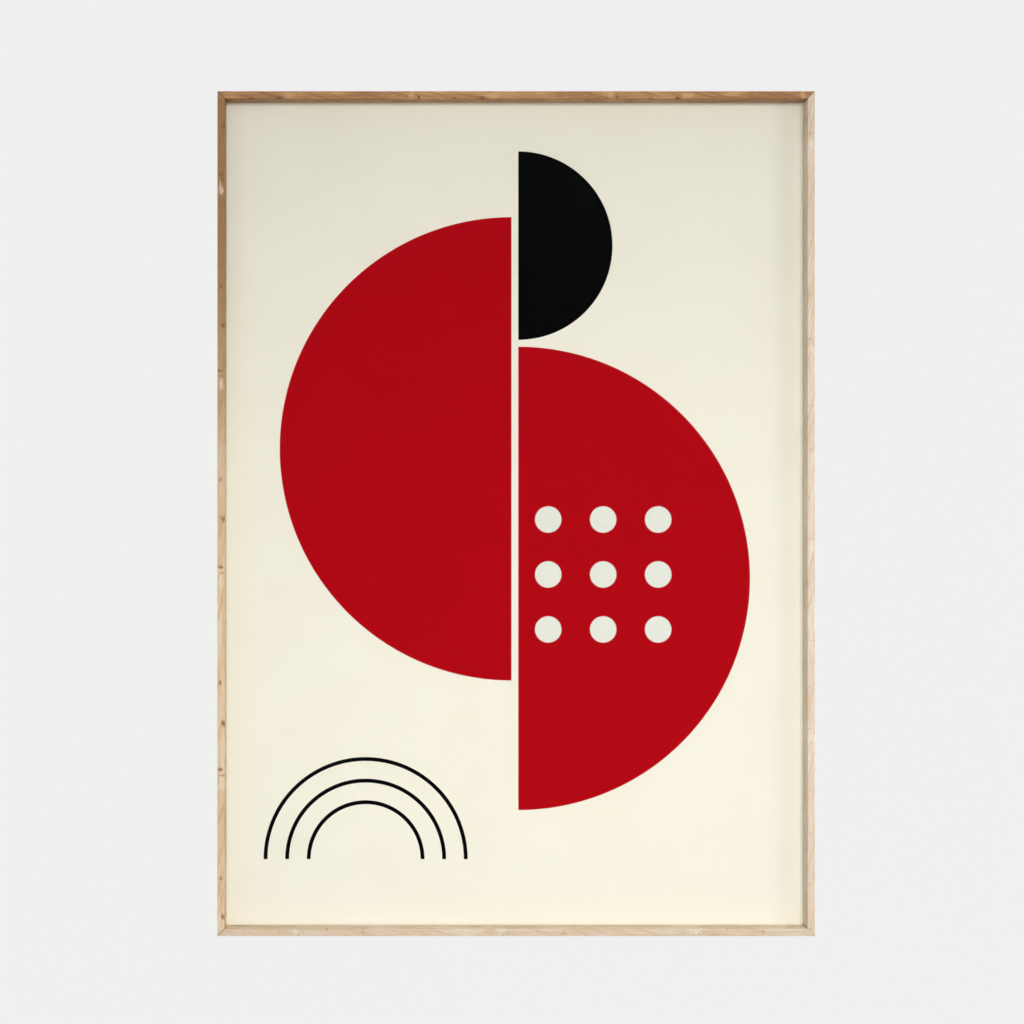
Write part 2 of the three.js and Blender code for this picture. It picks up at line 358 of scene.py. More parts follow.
class Shading:
    """The node tree of one material, with short ways to add to it."""

    def __init__(self, name: str) -> None:
        """Starts an empty material.

        Args:
            name: The material's name.
        """
        self.material = bpy.data.materials.new(name)
        self.material.use_nodes = True
        self.tree = self.material.node_tree
        self.tree.nodes.clear()
        self.output = self.tree.nodes.new("ShaderNodeOutputMaterial")

    def node(self, kind: str, inputs: dict[str | int, Value], **options: object) -> bpy.types.Node:
        """Adds a node.

        Args:
            kind: The node's type without the ShaderNode prefix.
            inputs: Values or sockets for its inputs, by name or number.
            **options: The node's own settings.

        Returns:
            The node.
        """
        made = self.tree.nodes.new(f"ShaderNode{kind}")
        for name, setting in options.items():
            setattr(made, name, setting)
        for key, value in inputs.items():
            if isinstance(value, Socket):
                self.tree.links.new(value, made.inputs[key])
            else:
                made.inputs[key].default_value = value
        return made

    def own(self) -> Socket:
        """The object's own coordinates."""
        own = self.node("TexCoord", {}).outputs["Object"]
        return self.node("Mapping", {"Vector": own}).outputs["Vector"]

    def seated(self, seat: Matrix) -> Socket:
        """The object's coordinates as they were before it was put in its place.

        Args:
            seat: The matrix that put it there.

        Returns:
            The vector socket.
        """
        own = self.node("TexCoord", {}).outputs["Object"]
        place = {"Vector": own, "Location": seat.translation, "Rotation": seat.to_euler()}
        return self.node("Mapping", place, vector_type="TEXTURE").outputs["Vector"]

    def vector(self, operation: str, *values: Value) -> Socket:
        """One step of arithmetic on vectors."""
        made = self.node("VectorMath", dict(enumerate(values)), operation=operation)
        return made.outputs["Value" if operation == "LENGTH" else "Vector"]

    def math(self, operation: str, *values: Value) -> Socket:
        """One step of arithmetic on numbers."""
        return self.node("Math", dict(enumerate(values)), operation=operation).outputs["Value"]

    def axes(self, vector: Value) -> tuple[Socket, Socket, Socket]:
        """The X, Y and Z of a vector."""
        return tuple(self.node("SeparateXYZ", {"Vector": vector}).outputs)

    def noise(self, vector: Value, pattern: Pattern) -> Socket:
        """A noise pattern from 0 to 1.

        Args:
            vector: The coordinates.
            pattern: The pattern.

        Returns:
            The value socket.
        """
        inputs = {
            "Vector": self.vector("MULTIPLY", vector, pattern.per_metre),
            "Scale": 1.0,
            "Detail": pattern.layers,
            "Distortion": pattern.swirl,
        }
        return self.node("TexNoise", inputs).outputs["Fac"]

    def rising(
        self, value: Value, low: float, high: float, out_low: float = 0.0, out_high: float = 1.0
    ) -> Socket:
        """A value moved smoothly from one range to another, and kept in it.

        Args:
            value: The value.
            low: Where the range starts.
            high: Where it ends.
            out_low: What the start becomes.
            out_high: What the end becomes.

        Returns:
            The value socket.
        """
        inputs = {
            "Value": value,
            "From Min": low,
            "From Max": high,
            "To Min": out_low,
            "To Max": out_high,
        }
        return self.node("MapRange", inputs, interpolation_type="SMOOTHSTEP").outputs["Result"]

    def falling(self, value: Value, low: float, high: float) -> Socket:
        """1 below a range, falling smoothly to 0 above it."""
        return self.rising(value, low, high, 1.0, 0.0)

    def tint(
        self,
        under: Value,
        over: Value,
        pattern: Value,
        most: float,
        ends: tuple[float, float] = (0.0, 1.0),
    ) -> Socket:
        """Tints a colour where a pattern is high.

        Args:
            under: The colour to tint.
            over: The colour to tint it with.
            pattern: The pattern.
            most: How much of the tint there is where it is full.
            ends: Where in the pattern the tint starts and where it is full.

        Returns:
            The colour socket.
        """
        share = self.rising(pattern, ends[0], ends[1], 0.0, most)
        return self.node("Mix", {0: share, 6: under, 7: over}, data_type="RGBA").outputs[2]

    def bump(self, height: Value, depth: float, under: Value | None = None) -> Socket:
        """A normal raised by a pattern.

        Args:
            height: The pattern, from 0 to 1.
            depth: The height that 1 stands for, in metres.
            under: A normal to raise further.

        Returns:
            The normal socket.
        """
        inputs = {"Height": height, "Distance": depth, "Strength": 1.0}
        if under is not None:
            inputs["Normal"] = under
        return self.node("Bump", inputs).outputs["Normal"]

    def close(self, **inputs: Value) -> bpy.types.Material:
        """Ends the tree with a Principled shader.

        Args:
            **inputs: The shader's inputs, with underscores for spaces.

        Returns:
            The finished material.
        """
        named = {key.replace("_", " "): value for key, value in inputs.items()}
        shader = self.node("BsdfPrincipled", named)
        self.tree.links.new(shader.outputs["BSDF"], self.output.inputs["Surface"])
        return self.material


# ------------------------------------------------------------------ oak


class Wood(Enum):
    """The kinds of wood in a board, by their colour."""

    PALE = auto()
    WARM = auto()
    DEEP = auto()


@dataclass(frozen=True)
class OakTone:
    """The colours of one board of oak.

    Attributes:
        pale: The open, light wood.
        warm: The wood of its darker bands.
        deep: Its pores, knots and darkest lines.
    """

    pale: Colour
    warm: Colour
    deep: Colour

    def colour(self, wood: Wood) -> Colour:
        """The colour of one kind of wood."""
        return {Wood.PALE: self.pale, Wood.WARM: self.warm, Wood.DEEP: self.deep}[wood]

    def between_warm_and_deep(self, share: float) -> Colour:
        """A colour on the way from warm to deep."""
        return tuple((1 - share) * a + share * b for a, b in zip(self.warm, self.deep))


@dataclass(frozen=True)
class Mark:
    """A small knot, a band of curl or a pale patch near the front of a board.

    Attributes:
        along: Its place along the board's figure.
        inward: Its place in from the rail's outer edge.
        half_length: Half its size along the grain.
        half_width: Half its size across the grain.
        wood: What it is made of.
        strength: How much of that wood's colour it has.
    """

    along: float
    inward: float
    half_length: float
    half_width: float
    wood: Wood
    strength: float


def marks(*rows: tuple[float, float, float, float, Wood, float]) -> tuple[Mark, ...]:
    """Marks from rows of what a mark is given by, with its place and size in millimetres."""
    return tuple(Mark(*(size * MM for size in row[:4]), *row[4:]) for row in rows)


@dataclass(frozen=True)
class Board:
    """The board that one rail was cut from.

    Attributes:
        tone: Its colours.
        marks: The marks of its figure, which comes back along the rail.
        painted_shade: How much painted shade browns and darkens the end where its coordinates start.
    """

    tone: OakTone
    marks: tuple[Mark, ...]
    painted_shade: float = 0.0


def oak_boards() -> dict[Side, Board]:
    """The boards of the four rails.

    Returns:
        The board of each side.
    """
    ivory = OakTone(srgb(240, 226, 206), srgb(217, 193, 163), srgb(168, 122, 84))
    pale = OakTone(srgb(233, 217, 195), srgb(208, 182, 150), srgb(158, 114, 80))
    straw = OakTone(srgb(234, 213, 182), srgb(204, 169, 123), srgb(132, 79, 26))
    # The top rail's honey tone is partly a darker board and partly painted shade that makes the whole
    # rail darker than the others.
    honey_and_painted_shade = OakTone(srgb(211, 167, 112), srgb(154, 103, 57), srgb(94, 50, 22))
    # Each row has a mark's along, inward, half length, half width, wood and strength.
    bottom = marks(
        (91, 4, 12, 6, Wood.WARM, 0.6),
        (103, 4.5, 9, 4, Wood.PALE, 0.7),
        (100, 3.2, 1.1, 3.0, Wood.DEEP, 0.4),
        (106.5, 1.8, 1.2, 2.2, Wood.DEEP, 0.6),
        (111, 3.0, 1.1, 2.8, Wood.DEEP, 0.4),
        (134, 6.6, 2.2, 1.3, Wood.DEEP, 0.6),
        (169, 3.7, 2.0, 8.0, Wood.DEEP, 0.35),
    )
    right = marks(
        (14, 3, 8, 5, Wood.PALE, 0.7),
        (24, 5, 1.6, 4.0, Wood.DEEP, 0.35),
        (67, 5.0, 1.0, 4.5, Wood.DEEP, 0.45),
        (116, 4, 2.2, 7.0, Wood.WARM, 0.8),
        (159, 4, 1.6, 7.0, Wood.WARM, 0.6),
    )
    top = marks(
        (64, 3.5, 46, 12, Wood.WARM, 0.6),
        (20, 6.4, 2.0, 4.4, Wood.DEEP, 0.9),
        (27, 3.2, 4.0, 8.0, Wood.PALE, 0.8),
        (100, 2.0, 16, 3.0, Wood.PALE, 0.6),
        (147, 4.4, 12, 5.0, Wood.PALE, 0.8),
        (157, 7.5, 5.0, 3.6, Wood.DEEP, 1.0),
        (185, 7.7, 4.6, 2.2, Wood.DEEP, 0.8),
    )
    left = marks(
        (14, 3.4, 4.4, 3.0, Wood.DEEP, 0.6),
        (54, 6.4, 5.0, 4.0, Wood.DEEP, 0.85),
        (101, 3.2, 2.6, 4.6, Wood.DEEP, 0.8),
        (107, 5.0, 2.0, 5.0, Wood.DEEP, 0.5),
        (116, 3.8, 10, 4.5, Wood.PALE, 0.7),
    )
    return {
        Side.BOTTOM: Board(pale, bottom),
        Side.RIGHT: Board(ivory, right),
        Side.TOP: Board(honey_and_painted_shade, top),
        # The left rail's upper end is darkened with painted shade.
        Side.LEFT: Board(straw, left, painted_shade=1.0),
    }


@dataclass(frozen=True)
class OakFinish:
    """Oiled oak whose grain runs along its rail.

    Attributes:
        side: The rail's side of the frame.
        board: The board that the rail was cut from.
        seat: The rail's place, for its own coordinates.
        length: The rail's outer length.
        front_y: The y of its front.
        first_board: Where along the grain the first side's board is taken from.
        next_board: How far along and across the grain each next board is from the last.
        figure_repeat: The length after which the board's figure comes back.
        figure_start: How much of that length is cut off at the rail's first end.
        figure_drift: How far the figure's marks stray along the board.
        ring_spacing: The distance between growth rings.
        ring_slope: The angle of the rings in the rail's section, in radians.
        ring_wander: Over how many rings a ring's line wanders.
        curl_slope: The slope of the figure's curly stripes to the grain, in radians.
        mark_depth: How deep a mark reaches into the rail.
        mark_fray: How far a mark's outline is frayed, as a share of its size.
        painted_shade_ends: Where the painted shade is full and where it ends, as shares of the length
            from the middle.
        painted_shade_depth: How far the painted shade's colour has gone from warm to deep.
        knot_cells: How closely the places for pin knots are packed.
        knot_free: The share of those places that have no knot.
        fibres: The finest lines of the grain.
        dashes: The short dashes of the pores.
        streaks: The long streaks of darker wood.
        figure: The broad patches of darker wood.
        curl: The curly stripes across the grain.
        wander: The waves in the rings' lines.
        drift: The slow changes in the figure's pace.
        ragged: The fraying of the marks.
    """

    side: Side
    board: Board
    seat: Matrix
    length: float
    front_y: float
    first_board: float = 3.1
    next_board: tuple[float, float] = (1.7, 0.61)
    figure_repeat: float = 200 * MM
    figure_start: float = 8 * MM
    figure_drift: float = 24 * MM
    ring_spacing: float = 2.1 * MM
    ring_slope: float = math.radians(28)
    ring_wander: float = 9.0
    curl_slope: float = math.radians(-14)
    mark_depth: float = 5 * MM
    mark_fray: float = 2.2
    painted_shade_ends: tuple[float, float] = (-0.42, 0.14)
    painted_shade_depth: float = 0.8
    knot_cells: Triple = (13, 75, 75)
    knot_free: float = 0.6
    fibres: Pattern = Pattern((55, 1500, 1500))
    dashes: Pattern = Pattern((170, 3600, 3600), layers=1.0)
    streaks: Pattern = Pattern((9, 420, 420))
    figure: Pattern = Pattern((17, 45, 45), swirl=0.6)
    curl: Pattern = Pattern((18, 260, 380), layers=2.0)
    wander: Pattern = Pattern((6, 34, 34))
    drift: Pattern = Pattern((3, 3, 3), layers=0.0)
    ragged: Pattern = Pattern((150, 500, 500))

    def material(self) -> bpy.types.Material:
        """Makes the material.

        Returns:
            The finished material.
        """
        shading = Shading(f"oak_{self.side.label}")
        tone = self.board.tone
        along, across = (self.side * step for step in self.next_board)
        own = shading.seated(self.seat)
        grain = shading.vector("ADD", own, (self.first_board + along, 0, across))
        ring = self.rings(shading, grain)
        fibre = shading.noise(grain, self.fibres)
        dash = shading.noise(grain, self.dashes)
        pores = shading.math("MULTIPLY", shading.rising(dash, 0.58, 0.72), ring)

        colour = self.clear_wood(shading, own, grain, ring)
        colour = shading.tint(colour, tone.warm, fibre, 0.25, ends=(0.3, 0.75))
        colour = shading.tint(colour, tone.deep, pores, 0.45, ends=(0.1, 0.9))
        colour = self.knotted(shading, grain, colour)
        colour = self.marked(shading, own, grain, colour)
        colour = self.joined(shading, own, colour)
        normal = shading.bump(fibre, 0.035 * MM)
        return shading.close(
            Base_Color=colour,
            Roughness=shading.rising(fibre, 0.25, 0.8, 0.46, 0.62),
            Specular_IOR_Level=0.35,
            Normal=shading.bump(pores, -0.06 * MM, normal),
        )

    def clear_wood(self, shading: Shading, own: Value, grain: Value, ring: Value) -> Socket:
        """The wood between the knots: its rings, streaks and patches of figure, and painted shade
        over one end where the board has it.

        Args:
            shading: The node tree.
            own: The rail's coordinates, with its grain along X.
            grain: The same, shifted to this board's own figure.
            ring: The growth rings.

        Returns:
            The colour.
        """
        tone = self.board.tone
        figure = shading.noise(grain, self.figure)
        slanted = {"Vector": grain, "Angle": self.curl_slope}
        slanted = shading.node("VectorRotate", slanted, rotation_type="Y_AXIS").outputs["Vector"]
        stripes = shading.rising(shading.noise(slanted, self.curl), 0.46, 0.64)
        curl = shading.math("MULTIPLY", stripes, figure)
        streaks = shading.noise(grain, self.streaks)
        colour = shading.tint(tone.pale, tone.warm, figure, 0.45, ends=(0.38, 0.62))
        colour = shading.tint(colour, tone.warm, curl, 0.75, ends=(0.05, 0.55))
        colour = shading.tint(colour, tone.warm, ring, 0.25)
        colour = shading.tint(colour, tone.warm, streaks, 0.55, ends=(0.44, 0.66))
        # Painted shade: one end of the rail is browned and darkened as if shade fell over it.
        if self.board.painted_shade:
            full, none = (share * self.length for share in self.painted_shade_ends)
            painted_shade = shading.falling(shading.axes(own)[0], full, none)
            painted_shade_colour = tone.between_warm_and_deep(self.painted_shade_depth)
            colour = shading.tint(colour, painted_shade_colour, painted_shade, self.board.painted_shade)
        return colour

    def rings(self, shading: Shading, grain: Value) -> Socket:
        """Growth rings, which show as long wavy lines.

        Args:
            shading: The node tree.
            grain: The board's coordinates, with the grain along X.

        Returns:
            The rings, from 0 in the late wood to 1 in the open early wood.
        """
        _, y, z = shading.axes(grain)
        across = shading.math("MULTIPLY", z, math.cos(self.ring_slope) / self.ring_spacing)
        through = shading.math("MULTIPLY", y, math.sin(self.ring_slope) / self.ring_spacing)
        wander = shading.math("MULTIPLY", shading.noise(grain, self.wander), self.ring_wander)
        count = shading.math("ADD", shading.math("ADD", across, through), wander)
        phase = shading.math("FRACT", count)
        rise = shading.rising(phase, 0.0, 0.2)
        return shading.math("MULTIPLY", rise, shading.falling(phase, 0.3, 0.95))

    def knotted(self, shading: Shading, grain: Value, colour: Value) -> Socket:
        """Adds pin knots, scattered over every side of the rail.

        Args:
            shading: The node tree.
            grain: The board's coordinates, with the grain along X.
            colour: The wood's colour so far.

        Returns:
            The colour.
        """
        tone = self.board.tone
        cells = shading.vector("MULTIPLY", grain, self.knot_cells)
        scatter = shading.node("TexVoronoi", {"Vector": cells, "Scale": 1.0})
        chance = shading.node("SeparateColor", {"Color": scatter.outputs["Color"]}).outputs["Red"]
        present = shading.math("GREATER_THAN", chance, self.knot_free)
        far = scatter.outputs["Distance"]
        halo = shading.math("MULTIPLY", shading.falling(far, 0.06, 0.42), present)
        knots = shading.math("MULTIPLY", shading.falling(far, 0.03, 0.14), present)
        colour = shading.tint(colour, tone.warm, halo, 0.5)
        return shading.tint(colour, tone.deep, knots, 0.8)

    def marked(self, shading: Shading, own: Value, grain: Value, colour: Value) -> Socket:
        """Adds the marks of the board's figure.

        Args:
            shading: The node tree.
            own: The rail's coordinates, with its grain along X.
            grain: The same, shifted to this board's own figure.
            colour: The wood's colour so far.

        Returns:
            The colour.
        """
        x, y, z = shading.axes(own)
        drift = shading.noise(grain, self.drift)
        start = self.length / 2 + self.figure_start
        drifted = shading.math("MULTIPLY_ADD", drift, self.figure_drift, start)
        along = shading.math("FLOORED_MODULO", shading.math("ADD", x, drifted), self.figure_repeat)
        place = shading.node("CombineXYZ", {"X": along, "Y": y, "Z": z}).outputs["Vector"]
        ragged = shading.noise(grain, self.ragged)
        for mark in self.board.marks:
            spot = self.spot(shading, place, ragged, mark)
            colour = shading.tint(colour, self.board.tone.colour(mark.wood), spot, mark.strength)
        return colour

    def spot(self, shading: Shading, place: Value, ragged: Value, mark: Mark) -> Socket:
        """Where one mark lies.

        Args:
            shading: The node tree.
            place: The coordinates in the board's figure.
            ragged: A pattern that frays the mark's outline.
            mark: The mark.

        Returns:
            1 in the mark, falling to 0 round it.
        """
        centre = (mark.along, self.front_y, mark.inward)
        shares = (1 / mark.half_length, 1 / self.mark_depth, 1 / mark.half_width)
        away = shading.vector("SUBTRACT", place, centre)
        far = shading.vector("LENGTH", shading.vector("MULTIPLY", away, shares))
        return shading.falling(shading.math("MULTIPLY_ADD", ragged, self.mark_fray, far), 1.1, 2.1)

    def joined(self, shading: Shading, own: Value, colour: Value) -> Socket:
        """Darkens the wood at the mitres, where the end grain took up more oil.

        Args:
            shading: The node tree.
            own: The rail's coordinates, with its grain along X.
            colour: The wood's colour so far.

        Returns:
            The colour.
        """
        tone = self.board.tone
        x, _, z = shading.axes(own)
        out = shading.math("ADD", shading.math("ABSOLUTE", x), z)
        to_joint = shading.math("SUBTRACT", self.length / 2, out)
        soaked = shading.falling(to_joint, 0.0, 5 * MM)
        line = shading.falling(to_joint, 0.3 * MM, 1.0 * MM)
        colour = shading.tint(colour, tone.warm, soaked, 0.3)
        return shading.tint(colour, tone.deep, line, 0.6)


# ------------------------------------------------------------------ the other finishes


@dataclass(frozen=True)
class PaperFinish:
    """Heavy uncoated paper, bare or under one flat ink.

    Attributes:
        name: The material's name.
        colour: The colour of the paper or of its ink.
        shade: The colour of its faint mottling.
        sheen: How much it mirrors, as a share of plain plastic's.
        roughness: How matt the surface is.
        tooth: How deep the paper's grain shows.
        felt: The paper's grain.
        specks: The finest mottling.
        cloud: The broadest mottling.
    """

    name: str
    colour: Colour
    shade: Colour
    sheen: float = 0.15
    roughness: float = 0.85
    tooth: float = 0.02 * MM
    felt: Pattern = Pattern((900, 900, 900))
    specks: Pattern = Pattern((1500, 1500, 1500), layers=1.0)
    cloud: Pattern = Pattern((14, 14, 14))

    def material(self) -> bpy.types.Material:
        """Makes the material.

        Returns:
            The finished material.
        """
        shading = Shading(self.name)
        own = shading.own()
        cloud = shading.noise(own, self.cloud)
        specks = shading.noise(own, self.specks)
        colour = shading.tint(self.colour, self.shade, cloud, 0.35, ends=(0.35, 0.7))
        colour = shading.tint(colour, self.shade, specks, 0.5, ends=(0.5, 0.8))
        return shading.close(
            Base_Color=colour,
            Roughness=self.roughness,
            Specular_IOR_Level=self.sheen,
            Normal=shading.bump(shading.noise(own, self.felt), self.tooth),
        )


class Ink(Enum):
    """What a part of the sheet's front is: bare paper or one of three inks."""

    BARE = PaperFinish("paper_cream", srgb(248, 242, 226), srgb(244, 237, 219))
    RED = PaperFinish(
        "ink_red", srgb(180, 5, 18), srgb(176, 4, 16), sheen=0.02, roughness=0.8, tooth=0.005 * MM
    )
    BLACK = PaperFinish(
        "ink_black", srgb(4, 4, 5), srgb(6, 6, 7), sheen=0.02, roughness=0.8, tooth=0.005 * MM
    )
    WHITE = PaperFinish(
        "ink_white", srgb(233, 234, 223), srgb(229, 230, 218), roughness=0.75, tooth=0.01 * MM
    )

    @property
    def index(self) -> int:
        """The material index of this ink on the sheet."""
        return list(Ink).index(self)


@dataclass(frozen=True)
class GlazingFinish:
    """Clear low-reflection picture glass.

    Attributes:
        name: The material's name.
        tint: What light it lets through.
        index: The refractive index that its coated surface seems to have.
        blur: How much its reflections are blurred.
    """

    name: str = "picture_glass"
    tint: Colour = (0.985, 0.99, 0.988, 1.0)
    index: float = 1.05
    blur: float = 0.02

    def material(self) -> bpy.types.Material:
        """Makes the material.

        Returns:
            The finished material.
        """
        shading = Shading(self.name)
        through = shading.node("BsdfTransparent", {"Color": self.tint})
        mirror = shading.node("BsdfGlossy", {"Color": (1, 1, 1, 1), "Roughness": self.blur})
        share = shading.node("Fresnel", {"IOR": self.index})
        inputs = {0: share.outputs["Fac"], 1: through.outputs["BSDF"], 2: mirror.outputs["BSDF"]}
        surface = shading.node("MixShader", inputs)
        shading.tree.links.new(surface.outputs["Shader"], shading.output.inputs["Surface"])
        return shading.material


@dataclass(frozen=True)
class HardboardFinish:
    """The rough side of hardboard, with the print of the wire screen that it was pressed on.

    Attributes:
        name: The material's name.
        screen_pitch: The distance between the screen's wires.
        screen_depth: How deep they pressed into the board.
        fibre_height: How far the fibres stand up.
        cloud: The broad patches.
        fibres: The matted fibres.
        flecks: The bits of bark.
    """

    name: str = "hardboard_screen_side"
    screen_pitch: float = 1.4 * MM
    screen_depth: float = 0.18 * MM
    fibre_height: float = 0.12 * MM
    cloud: Pattern = Pattern((7, 7, 7))
    fibres: Pattern = Pattern((420, 420, 252), layers=5.0, swirl=1.2)
    flecks: Pattern = Pattern((260, 260, 260), layers=2.0)

    def material(self) -> bpy.types.Material:
        """Makes the material.

        Returns:
            The finished material.
        """
        shading = Shading(self.name)
        own = shading.own()
        cloud = shading.noise(own, self.cloud)
        fibres = shading.noise(own, self.fibres)
        flecks = shading.noise(own, self.flecks)
        screen = self.screen(shading, own)
        light, tan = srgb(176, 138, 98), srgb(162, 124, 86)
        colour = shading.tint(light, tan, cloud, 1.0, ends=(0.3, 0.7))
        colour = shading.tint(colour, srgb(132, 98, 66), fibres, 0.8, ends=(0.35, 0.7))
        colour = shading.tint(colour, srgb(88, 60, 38), flecks, 0.5, ends=(0.6, 0.74))
        colour = shading.tint(colour, srgb(96, 68, 44), screen, 0.25)
        normal = shading.bump(fibres, self.fibre_height)
        return shading.close(
            Base_Color=colour,
            Roughness=0.82,
            Specular_IOR_Level=0.2,
            Normal=shading.bump(screen, -self.screen_depth, normal),
        )

    def screen(self, shading: Shading, own: Value) -> Socket:
        """The print of the wires.

        Args:
            shading: The node tree.
            own: The board's coordinates.

        Returns:
            The pattern, 1 in the middle of a wire's print.
        """
        x, _, z = shading.axes(own)
        turns = math.pi / self.screen_pitch
        waves = [
            shading.math("ABSOLUTE", shading.math("COSINE", shading.math("MULTIPLY", axis, turns)))
            for axis in (x, z)
        ]
        return shading.rising(shading.math("MAXIMUM", *waves), 0.8, 1.0)


@dataclass(frozen=True)
class ZincFinish:
    """Zinc-plated steel strip, dulled by handling.

    Attributes:
        name: The material's name.
        cloud: The dull patches.
        lines: The fine lines from rolling.
        line_depth: How deep those lines are.
    """

    name: str = "zinc_plate"
    cloud: Pattern = Pattern((160, 160, 160))
    lines: Pattern = Pattern((900, 900, 5400))
    line_depth: float = 0.015 * MM

    def material(self) -> bpy.types.Material:
        """Makes the material.

        Returns:
            The finished material.
        """
        shading = Shading(self.name)
        own = shading.own()
        cloud = shading.noise(own, self.cloud)
        lines = shading.noise(own, self.lines)
        bright, dull = srgb(182, 184, 185), srgb(158, 160, 160)
        colour = shading.tint(bright, dull, cloud, 1.0, ends=(0.35, 0.65))
        colour = shading.tint(colour, srgb(134, 136, 137), lines, 0.4, ends=(0.4, 0.8))
        return shading.close(
            Base_Color=colour,
            Metallic=1.0,
            Roughness=shading.rising(lines, 0.3, 0.75, 0.36, 0.56),
            Normal=shading.bump(lines, self.line_depth),
        )


@dataclass(frozen=True)
class StudioFinish:
    """The studio's pale cloth, lit evenly from behind so that it has no horizon.

    Attributes:
        name: The material's name.
        cloth: The colour of the light that comes through it.
        glow: How much light comes through it.
        face: The colour that its face shows under the lamps.
    """

    name: str = "studio_cloth"
    cloth: Colour = srgb(244, 244, 243)
    glow: float = 0.95
    face: Colour = srgb(30, 30, 30)

    def material(self) -> bpy.types.Material:
        """Makes the material.

        Returns:
            The finished material.
        """
        return Shading(self.name).close(
            Base_Color=self.face,
            Roughness=0.95,
            Specular_IOR_Level=0.1,
            Emission_Color=self.cloth,
            Emission_Strength=self.glow,
        )


# ------------------------------------------------------------------ the oak frame


@dataclass
class OakFrame:
    """Four mitred rails of one L-shaped moulding.

    Attributes:
        places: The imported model's planes.
        wall: The thickness of the moulding's wall behind the lip.
        eased: The radius of its front edges.
        arris: The radius of its other edges.
        mitre_gap: The gap on each side of the mitre's cut.
        slot_play: The clearance round what goes into a slot.
        boards: The board that each rail was cut from.
    """

    places: FramePlaces
    wall: float = 3.5 * MM
    eased: float = 0.6 * MM
    arris: float = 0.25 * MM
    mitre_gap: float = 0.1 * MM
    slot_play: float = 0.3 * MM
    boards: dict[Side, Board] = field(default_factory=oak_boards)

    def build(self) -> None:
        """Builds and dresses the four rails."""
        for side in Side:
            bm = self.bar(self.places.length(side))
            bm.transform(self.places.seat(side))
            finish = self.finish(side)
            rail = finish_piece(bm, f"rail_{side.label}", [finish], [f"frame_{side.label}"])
            self.cut_slots(rail, side)
            shade_round(rail)

    def finish(self, side: Side) -> bpy.types.Material:
        """The oak of one rail.

        Args:
            side: The rail's side of the frame.

        Returns:
            The material.
        """
        oak = OakFinish(
            side=side,
            board=self.boards[side],
            seat=self.places.seat(side),
            length=self.places.length(side),
            front_y=self.places.front_y,
        )
        return oak.material()

    def bar(self, length: float) -> BMesh:
        """One rail lying along +X, its outer face at z = 0, with its mitres cut.

        Args:
            length: The rail's outer length.

        Returns:
            The rail's bmesh.
        """
        front_y, lip_y, face = self.places.front_y, self.places.glazing_y, self.places.face
        section = [
            (0.0, front_y),
            (face, front_y),
            (face, lip_y),
            (self.wall, lip_y),
            (self.wall, 0.0),
            (0.0, 0.0),
        ]
        bm = bmesh.new()
        bm.faces.new([bm.verts.new((-length / 2, y, inward)) for inward, y in section])
        thicken(bm, (length, 0, 0))
        self.ease(bm)
        for vert in bm.verts:
            along = length / 2 - vert.co.z - self.mitre_gap * math.sqrt(2)
            vert.co.x = math.copysign(along, vert.co.x)
        return bm

    def ease(self, bm: BMesh) -> None:
        """Rounds the rail's long edges, the front ones more than the rest.

        Args:
            bm: The square-edged rail.
        """
        inner_corner = Vector((self.places.glazing_y, self.wall))
        long_edges = [e for e in bm.edges if abs(e.verts[0].co.x - e.verts[1].co.x) > self.wall]
        front = [e for e in long_edges if e.verts[0].co.y < self.places.front_y + self.arris]
        rest = [
            e
            for e in long_edges
            if e not in front and (inner_corner - e.verts[0].co.yz).length > self.arris
        ]
        round_off(bm, front, self.eased, segments=6)
        round_off(bm, rest, self.arris, segments=3)

    def cut_slots(self, rail: bpy.types.Object, side: Side) -> None:
        """Cuts the slots that the tabs and the corner fasteners are set in.

        Args:
            rail: The rail.
            side: Its side of the frame.
        """
        play = self.slot_play * Vector((1, 1, 1))
        bm = bmesh.new()
        for node in self.slotted_nodes(side):
            low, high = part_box(node)
            low, high = low - play, high + play
            place = Matrix.Translation((low + high) / 2) @ Matrix.Diagonal((*(high - low), 1))
            bmesh.ops.create_cube(bm, size=1.0, matrix=place)
        cutter = placed(bm, "slots")
        cut = rail.modifiers.new("slots", "BOOLEAN")
        cut.operation = "DIFFERENCE"
        cut.solver = "EXACT"
        cut.object = cutter
        bpy.context.view_layer.update()
        evaluated = rail.evaluated_get(bpy.context.evaluated_depsgraph_get())
        slotted = bpy.data.meshes.new_from_object(evaluated)
        rail.modifiers.clear()
        rail.data = slotted
        bpy.data.objects.remove(cutter)

    @staticmethod
    def slotted_nodes(side: Side) -> list[str]:
        """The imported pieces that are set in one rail."""
        fasteners = [name for name in nodes_called("corner_fastener_") if side.label in name]
        return fasteners + nodes_called(f"tab_{side.label}_")


# ------------------------------------------------------------------ the print


class Cut(Enum):
    """Which half of a disc is kept, by the direction of what is cut away."""

    WHOLE = None
    LEFT_HALF = (1, 0, 0)
    RIGHT_HALF = (-1, 0, 0)
    UPPER_HALF = (0, 0, -1)


@dataclass(frozen=True)
class Motif:
    """A disc, half disc or arch of one ink.

    Attributes:
        ink: Its ink.
        centre: The disc's centre, right and up from the sheet's centre.
        radius: Its radius.
        cut: Which part of the disc is kept.
        inner_radius: The radius that is left open, for an arch.
        inside: Motifs that lie wholly in this one.
    """

    ink: Ink
    centre: tuple[float, float]
    radius: float
    cut: Cut = Cut.WHOLE
    inner_radius: float = 0.0
    inside: tuple["Motif", ...] = ()


